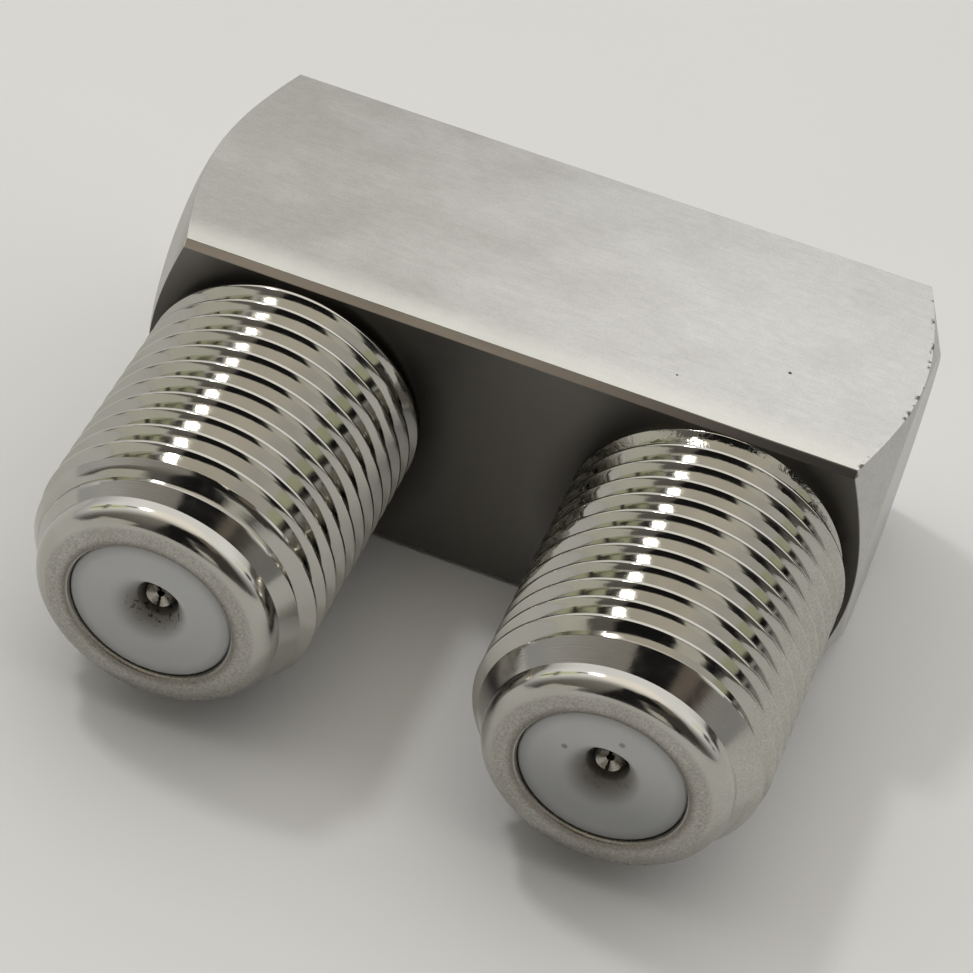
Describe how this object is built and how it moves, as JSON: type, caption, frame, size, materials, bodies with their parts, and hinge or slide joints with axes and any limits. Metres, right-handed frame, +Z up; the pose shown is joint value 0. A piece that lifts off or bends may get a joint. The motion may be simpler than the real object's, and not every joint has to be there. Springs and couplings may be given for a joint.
{
  "type": "u-shaped coaxial adapter with two f jacks",
  "caption": "Square metal bar with turned conical ends and two parallel threaded F coaxial jacks on one face, each with a white insulator and a socket contact.",
  "frame": {"origin": "on the surface that the bar lies on, under the middle of the whole part's box", "axes": "+Z up, +X along the bar, the jacks point towards -Y"},
  "size_m": [0.0246, 0.0208, 0.01],
  "materials": {
    "bar_nickel": "satin nickel plate, lightly brushed along the bar",
    "jack_nickel": "bright nickel plate, as turned",
    "white_plastic": "smooth white plastic",
    "inner_plastic": "smooth white plastic",
    "contact_metal": "bright plated bronze",
    "tinned_wire": "tinned wire"
  },
  "bodies": {
    "root": {"housing_block": "bar_nickel", "end_plug": "bar_nickel", "link_rod": "tinned_wire", "link_sleeve": "inner_plastic", "left_jack_shell": "jack_nickel", "right_jack_shell": "jack_nickel", "left_front_insulator": "white_plastic", "right_front_insulator": "white_plastic", "left_rear_insulator": "inner_plastic", "right_rear_insulator": "inner_plastic", "left_contact": "contact_metal", "right_contact": "contact_metal"}
  },
  "joints": []
}
